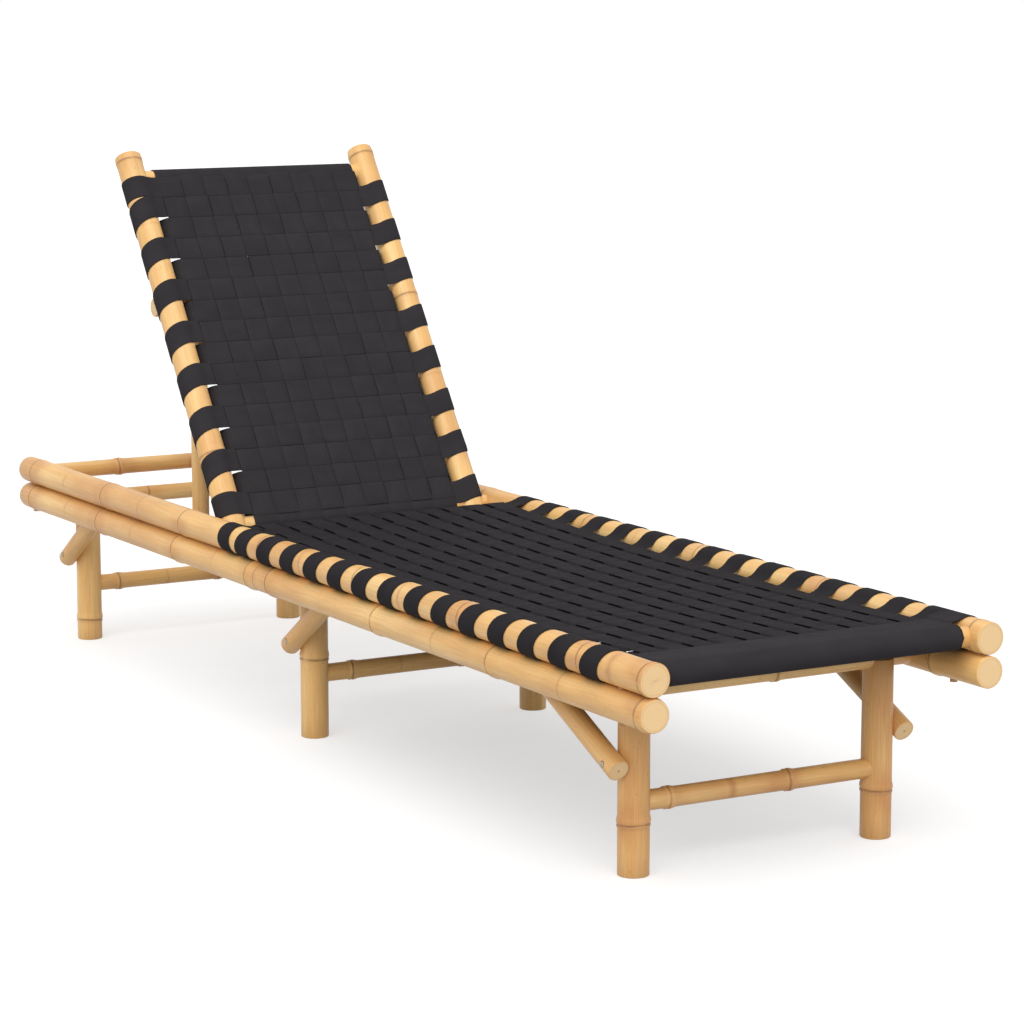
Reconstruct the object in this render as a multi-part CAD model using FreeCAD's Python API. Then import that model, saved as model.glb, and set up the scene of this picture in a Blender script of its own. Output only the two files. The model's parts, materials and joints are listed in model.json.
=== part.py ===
import FreeCAD, Part
import math
import os

# A bamboo sun lounger: a long bed on six legs, webbed with elastic straps,
# with a webbed backrest that hinges on its bottom bar and leans on a folding prop.
# Millimetres. +X points to the foot end, +Z up, the origin is on the floor
# under the middle of the bed.

os.makedirs("parts", exist_ok=True)

# Bed frame: two stacked rails a side, six legs and the poles across
frame_length = 2000.0
rail_half_spacing = 256.0
rail_radius = 21.5
lower_rail_height = 243.0
leg_radius = 21.0
leg_inset = 66.0
foot_leg_from_end = 152.0
head_leg_from_end = 91.0
mid_leg_x = -50.0
bar_radius = 13.5
stretcher_height = 95.0
head_bar_from_end = 49.0
seat_front_bar_from_end = 28.0
seat_rear_bar_from_hinge = 94.0

# Backrest, which turns on its hinge bar
hinge_from_head_end = 715.0
back_angle = 55.5
back_rail_radius = 21.0
back_rail_past_head_bar = 1.0
back_rail_tail = 24.0
back_top_bar_from_tip = 42.0

# Prop behind the backrest
prop_top_height = 604.0
prop_bar_radius = 15.0
prop_bar_overhang = 9.0
prop_post_radius = 14.0
prop_post_from_bar_end = 76.5

# Webbing
strap_width = 38.0
strap_thickness = 1.2
wrap_sides = 8
seat_wrap_pitch = 76.4
seat_bare_foot_length = 75.0
seat_sag = 6.0
back_sag = 0.6
back_wrap_start = 42.0
back_wrap_pitch = 76.0
back_bare_tip_length = 54.0
back_field_inset = 12.5

# Braces between each leg and the lower rail beside it
brace_radius = 15.0
brace_cross_height = 150.0
brace_tail = 18.0
foot_brace_angle = 25.0
other_brace_angle = 34.0

# Joinery
bar_depth = 18.0
cope_depth = 8.0
ridge_height = 0.9
ridge_half_width = 5.0
rail_dowel_radius = 5.0
rail_dowel_stub = 4.0
foot_dowel_from_end = 75.0
head_dowel_from_end = 24.0

# Clearances
seat_gap = 0.15
bore_gap = 0.08
pivot_gap = 0.08
strap_slack = 0.25
field_edge_gap = 1.6
ramp_gap = 0.3
rest_gap = 0.3
fold_clearance = 1.3
overrun = 5.0

# Node ridges on the bare stretches of the rails, as shares of their length
upper_rail_ridge_shares = (0.177, 0.329)
lower_rail_ridge_shares = (0.165, 0.316, 0.985)

# Places along the bed
head_end_x = -frame_length / 2
foot_end_x = frame_length / 2
foot_leg_x = foot_end_x - foot_leg_from_end
head_leg_x = head_end_x + head_leg_from_end
head_bar_x = head_end_x + head_bar_from_end
seat_front_bar_x = foot_end_x - seat_front_bar_from_end
hinge_x = head_end_x + hinge_from_head_end
seat_rear_bar_x = hinge_x + seat_rear_bar_from_hinge
dowel_places_x = (foot_end_x - foot_dowel_from_end, head_end_x + head_dowel_from_end)

# Heights and widths of the bed
upper_rail_height = lower_rail_height + 2 * rail_radius + strap_thickness + 2 * strap_slack
rail_inner_y = rail_half_spacing - rail_radius
leg_half_spacing = rail_half_spacing - leg_inset
wrap_inner = rail_radius + strap_slack
wrap_outer = wrap_inner + strap_thickness
loop_inner = bar_radius + strap_slack
field_thickness = 2 * strap_thickness
loop_outer = loop_inner + field_thickness
seat_field_half_width = rail_inner_y - field_edge_gap
seat_wrap_start_x = seat_rear_bar_x + bar_radius
seat_wrap_room = seat_front_bar_x - seat_bare_foot_length - seat_wrap_start_x
seat_wrap_count = 1 + int(seat_wrap_room / seat_wrap_pitch)

# Backrest and prop, from the bed they fold into
back_rail_reach = hinge_x - head_bar_x + back_rail_past_head_bar
back_top_bar_reach = back_rail_reach - back_top_bar_from_tip
back_wrap_inner = back_rail_radius + strap_slack
back_wrap_outer = back_wrap_inner + strap_thickness
back_half_spacing = rail_inner_y - fold_clearance - back_wrap_outer
back_field_half_width = back_half_spacing - back_rail_radius - back_field_inset
back_last_wrap = back_rail_reach - back_bare_tip_length
back_wrap_count = 1 + int((back_last_wrap - strap_width - back_wrap_start) / back_wrap_pitch)
prop_bar_half_length = back_half_spacing + prop_bar_overhang
prop_post_half_spacing = prop_bar_half_length - prop_post_from_bar_end
lean_gap = back_wrap_outer + rest_gap + prop_bar_radius
back_rise = prop_top_height - upper_rail_height
lean = math.radians(back_angle)
prop_x = hinge_x - (lean_gap + back_rise * math.cos(lean)) / math.sin(lean)

X_AXIS = FreeCAD.Vector(1, 0, 0)
Y_AXIS = FreeCAD.Vector(0, 1, 0)
Z_AXIS = FreeCAD.Vector(0, 0, 1)

LEGS = {"foot": foot_leg_x, "mid": mid_leg_x, "head": head_leg_x}
SIDES = {"right": -1, "left": 1}
pieces = {}


def point(x, y, z):
    return FreeCAD.Vector(x, y, z)


def rod(start, end, radius):
    """A plain round pole between two points."""
    run = end - start
    return Part.makeCylinder(radius, run.Length, start, run)


def culm(start, end, radius, ridge_shares):
    """A long bamboo culm between two points, turned with a low ridge at each node."""
    run = end - start
    outline = [point(0, 0, 0), point(radius, 0, 0)]
    for share in ridge_shares:
        height = share * run.Length
        outline.append(point(radius, 0, height - ridge_half_width))
        outline.append(point(radius + ridge_height, 0, height))
        outline.append(point(radius, 0, height + ridge_half_width))
    outline += [point(radius, 0, run.Length), point(0, 0, run.Length), point(0, 0, 0)]
    turned = Part.Face(Part.makePolygon(outline)).revolve(point(0, 0, 0), Z_AXIS, 360)
    turned.Placement = FreeCAD.Placement(start, FreeCAD.Rotation(Z_AXIS, run))
    return turned


def across(x, z, half_length, radius):
    """A round pole along Y, centred on the bed."""
    return rod(point(x, -half_length, z), point(x, half_length, z), radius)


def rail_line(side, height, radius):
    """A straight cylinder along a rail's axis, longer than the rail."""
    y = side * rail_half_spacing
    return rod(point(head_end_x - overrun, y, height), point(foot_end_x + overrun, y, height), radius)


def leg_line(side, x, radius):
    """A straight cylinder along a leg's axis, longer than the leg."""
    y = side * leg_half_spacing
    return rod(point(x, y, -overrun), point(x, y, upper_rail_height), radius)


def brace_direction(leg):
    """Unit direction of a brace from its lower end to its upper end."""
    angle = math.radians(foot_brace_angle if leg == "foot" else other_brace_angle)
    toward = -1 if leg == "foot" else 1
    return point(toward * math.cos(angle), 0, math.sin(angle))


def brace_ends(side, leg):
    """Lower and upper end of a brace, which runs between its leg and the lower rail."""
    brace_y = side * (leg_half_spacing + leg_radius + rail_inner_y) / 2
    cross = point(LEGS[leg], brace_y, brace_cross_height)
    direction = brace_direction(leg)
    climb = (lower_rail_height - brace_cross_height) / direction.z
    return cross - direction * brace_tail, cross + direction * climb


def rail_dowel(side, x, growth):
    """A dowel from under the lower rail up into the upper rail, or the bore for it."""
    y = side * rail_half_spacing
    foot = lower_rail_height - rail_radius - rail_dowel_stub - growth
    return rod(point(x, y, foot), point(x, y, upper_rail_height + growth), rail_dowel_radius + growth)


def make_rails():
    """Two stacked rails a side: the upper carries webbing and hinge, the lower the legs."""
    bore_reach = rail_inner_y + bar_depth + seat_gap
    upper_bores = [(x, bore_gap) for x in (head_bar_x, seat_rear_bar_x, seat_front_bar_x)]
    upper_bores.append((hinge_x, pivot_gap))
    lower_bores = [(x, bore_gap) for x in LEGS.values()] + [(prop_x, pivot_gap)]
    stack = {
        "upper": (upper_rail_height, upper_rail_ridge_shares, upper_bores),
        "lower": (lower_rail_height, lower_rail_ridge_shares, lower_bores),
    }
    for side_name, side in SIDES.items():
        y = side * rail_half_spacing
        for level, (height, ridge_shares, bores) in stack.items():
            rail = culm(point(head_end_x, y, height), point(foot_end_x, y, height), rail_radius, ridge_shares)
            for x, gap in bores:
                rail = rail.cut(across(x, height, bore_reach, bar_radius + gap))
            for x in dowel_places_x:
                rail = rail.cut(rail_dowel(side, x, bore_gap))
            pieces[side_name + "_" + level + "_rail"] = rail
    dowels = [rail_dowel(side, x, 0) for side in SIDES.values() for x in dowel_places_x]
    pieces["rail_dowels"] = Part.makeCompound(dowels)


def make_cross_poles():
    """Poles pushed into bored holes: five between the rails, a stretcher between each leg pair."""
    bar_reach = rail_inner_y + bar_depth
    for name, x in (("head_bar", head_bar_x), ("seat_rear_bar", seat_rear_bar_x),
                    ("seat_front_bar", seat_front_bar_x)):
        pieces[name] = across(x, upper_rail_height, bar_reach, bar_radius)
    for leg, x in LEGS.items():
        pieces[leg + "_lower_bar"] = across(x, lower_rail_height, bar_reach, bar_radius)
        stretcher_reach = leg_half_spacing - leg_radius + bar_depth
        pieces[leg + "_stretcher"] = across(x, stretcher_height, stretcher_reach, bar_radius)


def make_legs():
    """Six legs, each with a fish-mouth on top that holds the lower bar across it."""
    stretcher_bore_reach = leg_half_spacing - leg_radius + bar_depth + seat_gap
    for side_name, side in SIDES.items():
        for leg, x in LEGS.items():
            y = side * leg_half_spacing
            post = rod(point(x, y, 0), point(x, y, lower_rail_height), leg_radius)
            post = post.cut(across(x, lower_rail_height, rail_half_spacing, bar_radius + seat_gap))
            post = post.cut(across(x, stretcher_height, stretcher_bore_reach, bar_radius + bore_gap))
            pieces[side_name + "_" + leg + "_leg"] = post


def make_braces():
    """A slanted brace outside each leg, coped on one side to the leg and on the other to the rail."""
    for side_name, side in SIDES.items():
        for leg, x in LEGS.items():
            brace = rod(*brace_ends(side, leg), brace_radius)
            brace = brace.cut(leg_line(side, x, leg_radius + seat_gap))
            brace = brace.cut(rail_line(side, lower_rail_height, rail_radius + seat_gap))
            pieces[side_name + "_" + leg + "_brace"] = brace


def webbing_field(low_x, high_x, bar_height, half_width, sag):
    """The woven field between two bars, sagging, with its loops round both bars."""
    under = bar_height + loop_inner
    top = bar_height + loop_outer
    mid_x = (low_x + high_x) / 2

    def at(x, z):
        return point(x, -half_width, z)

    edges = [
        Part.Arc(at(low_x, under), at(mid_x, under - sag), at(high_x, under)).toShape(),
        Part.makeLine(at(high_x, under), at(high_x, top)),
        Part.Arc(at(high_x, top), at(mid_x, top - sag), at(low_x, top)).toShape(),
        Part.makeLine(at(low_x, top), at(low_x, under)),
    ]
    slab = Part.Face(Part.Wire(edges)).extrude(Y_AXIS * (2 * half_width))
    for x in (low_x, high_x):
        slab = slab.fuse(across(x, bar_height, half_width, loop_outer))
    for x in (low_x, high_x):
        slab = slab.cut(across(x, bar_height, half_width + overrun, loop_inner))
    return slab.removeSplitter()


def sagged_top(x, low_x, high_x, bar_height, sag):
    """Height of the field's top at x, on the arc through both ends and the sagged middle."""
    half = (high_x - low_x) / 2
    bend = (half * half + sag * sag) / (2 * sag)
    offset = x - (low_x + high_x) / 2
    return bar_height + loop_outer - sag + bend - math.sqrt(bend * bend - offset * offset)


def flat_sided(x, y, z, flat_radius, length):
    """A prism along X with flats on top, below and at the sides, as a strap folds round a pole."""
    corner_radius = flat_radius / math.cos(math.pi / wrap_sides)
    corners = []
    for index in range(wrap_sides + 1):
        turn = 2 * math.pi * (index + 0.5) / wrap_sides
        corners.append(point(x, y + corner_radius * math.cos(turn), z + corner_radius * math.sin(turn)))
    return Part.Face(Part.makePolygon(corners)).extrude(X_AXIS * length)


def rail_wrap(side, x, rail_y, rail_height, inner, outer, field_y, field_top):
    """One cross strap folded round a rail, with the ramp that leads it into the field."""
    start = x - strap_width / 2
    ring = flat_sided(start, side * rail_y, rail_height, outer, strap_width)

    def at(y, z):
        return point(start, side * y, z)

    top = rail_height + outer
    under = field_top - field_thickness
    outline = [at(rail_y, top), at(field_y, field_top), at(field_y, under), at(rail_y - inner / 2, under)]
    ramp = Part.Face(Part.makePolygon(outline + outline[:1])).extrude(X_AXIS * strap_width)
    bore = flat_sided(start - overrun, side * rail_y, rail_height, inner, strap_width + 2 * overrun)
    return ring.fuse(ramp).cut(bore).removeSplitter()


def make_seat_webbing():
    """The bed's woven field, and the cross straps' turns round the upper rails."""
    ends = (seat_rear_bar_x, seat_front_bar_x, upper_rail_height)
    pieces["seat_webbing"] = webbing_field(*ends, seat_field_half_width, seat_sag)
    beside_rear_bar = across(seat_rear_bar_x, upper_rail_height, rail_half_spacing, loop_inner)
    ramp_y = seat_field_half_width + ramp_gap
    wraps = []
    for side in SIDES.values():
        for index in range(seat_wrap_count):
            x = seat_wrap_start_x + index * seat_wrap_pitch
            wrap = rail_wrap(side, x, rail_half_spacing, upper_rail_height, wrap_inner,
                             wrap_outer, ramp_y, sagged_top(x, *ends, seat_sag))
            if index == 0:
                wrap = wrap.cut(beside_rear_bar)
            wraps.append(wrap)
    pieces["seat_rail_wraps"] = Part.makeCompound(wraps)


def lean_back(shape):
    """Turns a piece of the backrest, built lying flat toward the head, to its rest angle."""
    leaned = shape.copy()
    leaned.rotate(point(0, 0, 0), Y_AXIS, back_angle)
    leaned.translate(point(hinge_x, 0, upper_rail_height))
    return leaned


def make_backrest():
    """Two back rails on the hinge bar, a top bar between them, and the webbing."""
    back_inner_y = back_half_spacing - back_rail_radius
    top_bar_x = -back_top_bar_reach
    bar_reach = back_inner_y + bar_depth
    for side_name, side in SIDES.items():
        y = side * back_half_spacing
        rail = rod(point(back_rail_tail, y, 0), point(-back_rail_reach, y, 0), back_rail_radius)
        rail = rail.cut(across(0, 0, rail_half_spacing, bar_radius + bore_gap))
        rail = rail.cut(across(top_bar_x, 0, bar_reach + seat_gap, bar_radius + bore_gap))
        pieces[side_name + "_back_rail"] = lean_back(rail)
    pieces["back_top_bar"] = lean_back(across(top_bar_x, 0, bar_reach, bar_radius))
    pieces["back_hinge_bar"] = lean_back(across(0, 0, rail_inner_y + bar_depth, bar_radius))

    field = webbing_field(top_bar_x, 0, 0, back_field_half_width, back_sag)
    pieces["back_webbing"] = lean_back(field)
    beside_top_bar = across(top_bar_x, 0, back_half_spacing, loop_inner)
    ramp_y = back_field_half_width + ramp_gap
    reaches = [back_wrap_start + index * back_wrap_pitch for index in range(back_wrap_count)]
    wraps = []
    for side in SIDES.values():
        for reach in reaches + [back_last_wrap]:
            wrap = rail_wrap(side, -reach, back_half_spacing, 0, back_wrap_inner,
                             back_wrap_outer, ramp_y, loop_outer)
            if reach == back_last_wrap:
                wrap = wrap.cut(beside_top_bar)
            wraps.append(wrap)
    pieces["back_rail_wraps"] = lean_back(Part.makeCompound(wraps))


def make_prop():
    """The folding prop: a pivot bar in the lower rails, two coped posts and a top bar."""
    pieces["prop_pivot_bar"] = across(prop_x, lower_rail_height, rail_inner_y + bar_depth, bar_radius)
    pieces["prop_top_bar"] = across(prop_x, prop_top_height, prop_bar_half_length, prop_bar_radius)
    foot = lower_rail_height + bar_radius - cope_depth
    head = prop_top_height - prop_bar_radius + cope_depth
    for side_name, side in SIDES.items():
        y = side * prop_post_half_spacing
        post = rod(point(prop_x, y, foot), point(prop_x, y, head), prop_post_radius)
        post = post.cut(across(prop_x, lower_rail_height, rail_half_spacing, bar_radius + seat_gap))
        post = post.cut(across(prop_x, prop_top_height, rail_half_spacing, prop_bar_radius + seat_gap))
        pieces[side_name + "_prop_post"] = post


make_rails()
make_cross_poles()
make_legs()
make_braces()
make_seat_webbing()
make_backrest()
make_prop()

for name, shape in pieces.items():
    shape.exportStep("parts/" + name + ".step")
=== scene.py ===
import json
import math

import bmesh
import bpy
from bpy.props import FloatProperty, FloatVectorProperty, IntProperty, PointerProperty
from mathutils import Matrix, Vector


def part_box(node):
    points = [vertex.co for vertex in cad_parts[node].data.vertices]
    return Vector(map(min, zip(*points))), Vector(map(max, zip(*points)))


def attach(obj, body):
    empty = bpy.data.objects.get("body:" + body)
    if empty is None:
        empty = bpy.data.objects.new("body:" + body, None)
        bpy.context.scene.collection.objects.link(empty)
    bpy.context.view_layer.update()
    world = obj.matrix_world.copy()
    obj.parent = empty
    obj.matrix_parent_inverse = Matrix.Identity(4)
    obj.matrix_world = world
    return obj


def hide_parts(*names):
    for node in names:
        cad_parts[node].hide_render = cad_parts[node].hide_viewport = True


bl_info = {
    "name": "Bamboo sun lounger",
    "version": (1, 0, 0),
    "blender": (4, 5, 0),
    "location": "3D View > Sidebar > Lounger",
    "description": "Dresses the packed lounger frame in bamboo culms and woven elastic straps",
    "category": "Add Mesh",
}

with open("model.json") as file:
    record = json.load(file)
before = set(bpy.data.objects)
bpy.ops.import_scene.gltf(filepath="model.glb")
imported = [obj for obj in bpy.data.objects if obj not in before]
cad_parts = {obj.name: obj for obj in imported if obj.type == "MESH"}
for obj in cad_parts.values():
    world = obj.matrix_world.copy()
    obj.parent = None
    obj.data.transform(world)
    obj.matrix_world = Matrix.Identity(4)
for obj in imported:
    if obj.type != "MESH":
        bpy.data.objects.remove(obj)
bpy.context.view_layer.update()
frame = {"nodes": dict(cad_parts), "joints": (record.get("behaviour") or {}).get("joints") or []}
HINGE = next(Vector(joint["pos_m"]) for joint in frame["joints"] if joint["name"] == "back_recline")
X_AXIS, Y_AXIS, Z_AXIS = Vector((1, 0, 0)), Vector((0, 1, 0)), Vector((0, 0, 1))


# Sizes and colours

def length(name, default, description):
    """A setting in metres."""
    return FloatProperty(name=name, description=description, default=default, unit="LENGTH")


def colour(name, default, description):
    """A setting for a colour."""
    return FloatVectorProperty(name=name, description=description, default=default, subtype="COLOR", size=3,
                               min=0, max=1)


class BambooSettings(bpy.types.PropertyGroup):
    """Sizes and colours of the bamboo culms."""
    rail_radius: length("Rail radius", 0.0215, "Radius of the four long rails")
    leg_radius: length("Leg radius", 0.021, "Radius of the legs and of the back rails")
    bar_radius: length("Bar radius", 0.0135, "Radius of the thin poles across")
    brace_radius: length("Brace radius", 0.015, "Radius of the slanted braces")
    post_radius: length("Post radius", 0.014, "Radius of the prop's posts")
    prop_bar_radius: length("Prop bar radius", 0.015, "Radius of the prop's top bar")
    ridge_height: length("Ridge", 0.0014, "How far a node's ridge stands out")
    wrapped_ridge_height: length("Wrapped ridge", 0.0008, "Ridges on the rails that straps go round")
    hidden_ridge_height: length("Hidden ridge", 0.0002, "Ridges that straps or the folded prop lie on")
    bar_ridge_height: length("Bar ridge", 0.0018, "Ridges on the thin poles")
    ridge_width: length("Ridge width", 0.005, "Half width of a node's swelling")
    sides: IntProperty(name="Sides", description="Faces round each culm", default=36, min=12, max=64)
    skin: colour("Skin", (0.80, 0.475, 0.168), "Main colour of the culms")
    pale: colour("Pale streaks", (0.87, 0.585, 0.250), "Colour of the pale streaks")
    tan: colour("Tan patches", (0.58, 0.27, 0.090), "Colour of the darker patches near the nodes")
    scar: colour("Node scar", (0.27, 0.14, 0.055), "Colour of the dark ring at a node")
    cut_end: colour("Cut end", (0.80, 0.57, 0.33), "Colour of the sawn ends")


class StrapSettings(bpy.types.PropertyGroup):
    """Sizes and colour of the elastic straps."""
    width: length("Strap width", 0.0388, "Width of a cross strap")
    thickness: length("Strap thickness", 0.0012, "Thickness of a strap")
    row_pitch: length("Row pitch", 0.0382, "From one cross strap to the next")
    seat_pitch: length("Seat strap pitch", 0.040, "From one lengthwise strap of the bed to the next")
    seat_width: length("Seat strap width", 0.0310, "Width of a lengthwise strap of the bed")
    back_pitch: length("Back strap pitch", 0.0395, "From one lengthwise strap of the back to the next")
    back_width: length("Back strap width", 0.0386, "Width of a lengthwise strap of the back")
    seat_wave: length("Seat weave height", 0.0014, "How far the bed's straps rise and dip in the weave")
    back_wave: length("Back weave height", 0.0010, "How far the back's straps rise and dip in the weave")
    sag: length("Sag", 0.012, "How far the bed sags in the middle")
    charcoal: colour("Charcoal", (0.034, 0.031, 0.034), "Colour of the straps")


class StageSettings(bpy.types.PropertyGroup):
    """Camera, floor and light."""
    camera_place: FloatVectorProperty(
        name="Camera place", description="Where the camera stands", subtype="TRANSLATION", size=3,
        default=(4.33053, -2.38887, 1.14143))
    camera_turn: FloatProperty(
        name="Camera turn", description="Turn of the view about the vertical", subtype="ANGLE",
        default=math.radians(59.88))
    camera_tilt: FloatProperty(
        name="Camera tilt", description="Tilt of the view below the horizon", subtype="ANGLE",
        default=math.radians(9.29))
    lens: FloatProperty(
        name="Lens", description="Focal length on a 36 mm sensor", default=117.14, unit="CAMERA")
    world_level: FloatProperty(
        name="World level", description="Strength of the even light", default=0.72)
    key_level: FloatProperty(
        name="Key level", description="Share of white that the soft light from above adds on a level surface",
        default=0.47)


GROUPS = {"lounger_bamboo": BambooSettings, "lounger_straps": StrapSettings, "lounger_stage": StageSettings}


def sizes():
    """The three groups of settings."""
    return [getattr(bpy.context.scene, name) for name in GROUPS]


# Short ways to make node trees, materials and objects

class Wiring:
    """Adds and links the nodes of one tree."""

    def __init__(self, tree):
        self.tree = tree

    def add(self, kind, inputs=None, **settings):
        """A new node, with its settings made before its inputs are fed."""
        node = self.tree.nodes.new(kind)
        for key, value in settings.items():
            setattr(node, key, value)
        self.feed(node, inputs or {})
        return node

    def feed(self, node, inputs):
        """Links or sets inputs, which are given by name or number."""
        for key, value in inputs.items():
            if isinstance(value, bpy.types.NodeSocket):
                self.tree.links.new(value, node.inputs[key])
            else:
                node.inputs[key].default_value = value

    def maths(self, operation, *values, clamp=False):
        node = self.add("ShaderNodeMath", dict(enumerate(values)), operation=operation, use_clamp=clamp)
        return node.outputs[0]

    def times(self, first, second):
        return self.maths("MULTIPLY", first, second)

    def grow(self, value, factor, base, clamp=False):
        """The value times a factor, plus a base."""
        return self.maths("MULTIPLY_ADD", value, factor, base, clamp=clamp)

    def inverse(self, value):
        return self.maths("SUBTRACT", 1.0, value, clamp=True)

    def bell(self, value, middle, width):
        """A smooth bump that is 1 at its middle."""
        share = self.maths("DIVIDE", self.maths("SUBTRACT", value, middle), width)
        return self.maths("EXPONENT", self.times(self.times(share, share), -1.0))

    def blend(self, factor, low, high, mode="MIX"):
        """Mixes two colours, each a socket or three numbers."""
        inputs = {"Factor": factor}
        for key, shade in (("A", low), ("B", high)):
            inputs[key] = shade if isinstance(shade, bpy.types.NodeSocket) else (*shade, 1.0)
        return self.add("ShaderNodeMix", inputs, data_type="RGBA", blend_type=mode).outputs["Result"]

    def ramp(self, value, low, high):
        """Smooth step from 0 at low to 1 at high."""
        inputs = {"Value": value, "From Min": low, "From Max": high}
        return self.add("ShaderNodeMapRange", inputs, interpolation_type="SMOOTHSTEP").outputs["Result"]

    def noise(self, place, stretch, scale=1.0, detail=2.0, rough=0.5):
        """Noise on a place that is stretched by three factors first."""
        mapped = self.add("ShaderNodeMapping", {"Vector": place, "Scale": stretch})
        inputs = {"Vector": mapped.outputs["Vector"], "Scale": scale, "Detail": detail, "Roughness": rough}
        return self.add("ShaderNodeTexNoise", inputs).outputs["Fac"]

    def bump(self, height, distance, strength=1.0):
        inputs = {"Height": height, "Distance": distance, "Strength": strength}
        return self.add("ShaderNodeBump", inputs).outputs["Normal"]

    def painted(self, name, output="Fac"):
        """A mark that the mesh carries, for a material."""
        return self.add("ShaderNodeAttribute", attribute_name=name).outputs[output]

    def mark(self, name, kind="FLOAT"):
        """A mark that the mesh carries, for a geometry tree."""
        node = self.add("GeometryNodeInputNamedAttribute", {"Name": name}, data_type=kind)
        return node.outputs["Attribute"]

    def object_place(self):
        return self.add("ShaderNodeTexCoord").outputs["Object"]

    def seen_directly(self):
        """1 for what the camera, reflections and glass see, and 0 for light on its way to a surface."""
        path = self.add("ShaderNodeLightPath").outputs
        seen = self.maths("MAXIMUM", path["Is Camera Ray"], path["Is Glossy Ray"])
        return self.maths("MAXIMUM", seen, path["Is Transmission Ray"])


def new_tree(name, kind, inputs, outputs):
    """A node tree, its wiring and its input sockets.

    inputs are (name, kind of socket, value or None) and outputs are (name, kind of socket)."""
    tree = bpy.data.node_groups.new(name, kind)
    new_socket = tree.interface.new_socket
    for socket_name, socket_kind, value in inputs:
        socket = new_socket(socket_name, in_out="INPUT", socket_type="NodeSocket" + socket_kind)
        if value is not None:
            socket.default_value = value
    for socket_name, socket_kind in outputs:
        new_socket(socket_name, in_out="OUTPUT", socket_type="NodeSocket" + socket_kind)
    wire = Wiring(tree)
    return tree, wire, wire.add("NodeGroupInput").outputs


def surface_group(name, inputs):
    """A shader group that gives a surface's colour, roughness and relief."""
    outputs = [("Color", "Color"), ("Roughness", "Float"), ("Height", "Float")]
    return new_tree(name, "ShaderNodeTree", inputs, outputs)


def geometry_tree(name, inputs):
    """A Geometry Nodes tree with a geometry in and out."""
    inputs = [("Geometry", "Geometry", None)] + inputs
    return new_tree(name, "GeometryNodeTree", inputs, [("Geometry", "Geometry")])


def end_tree(wire, geometry, material):
    """Realizes what a geometry tree made, gives it its material and sends it out."""
    made = wire.add("GeometryNodeRealizeInstances", {"Geometry": geometry}).outputs["Geometry"]
    paint = wire.add("GeometryNodeSetMaterial", {"Geometry": made, "Material": material})
    wire.add("NodeGroupOutput", {"Geometry": paint.outputs["Geometry"]})


def new_material(name):
    """A material, its wiring and its shader."""
    material = bpy.data.materials.new(name)
    material.use_nodes = True
    return material, Wiring(material.node_tree), material.node_tree.nodes["Principled BSDF"]


def placed(name, data):
    """A new object in the scene."""
    made = bpy.data.objects.new(name, data)
    bpy.context.scene.collection.objects.link(made)
    return made


def write_marks(mesh, name, values):
    """Gives each point of a mesh a number, or a vector where there are three numbers for a point."""
    kind, key = ("FLOAT_VECTOR", "vector") if len(values) > len(mesh.vertices) else ("FLOAT", "value")
    mesh.attributes.new(name, kind, "POINT").data.foreach_set(key, values)


def read_marks(mesh, name, key="value", count=1):
    """The numbers that write_marks wrote."""
    values = [0.0] * (count * len(mesh.vertices))
    mesh.attributes[name].data.foreach_get(key, values)
    return values


# Materials

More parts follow.
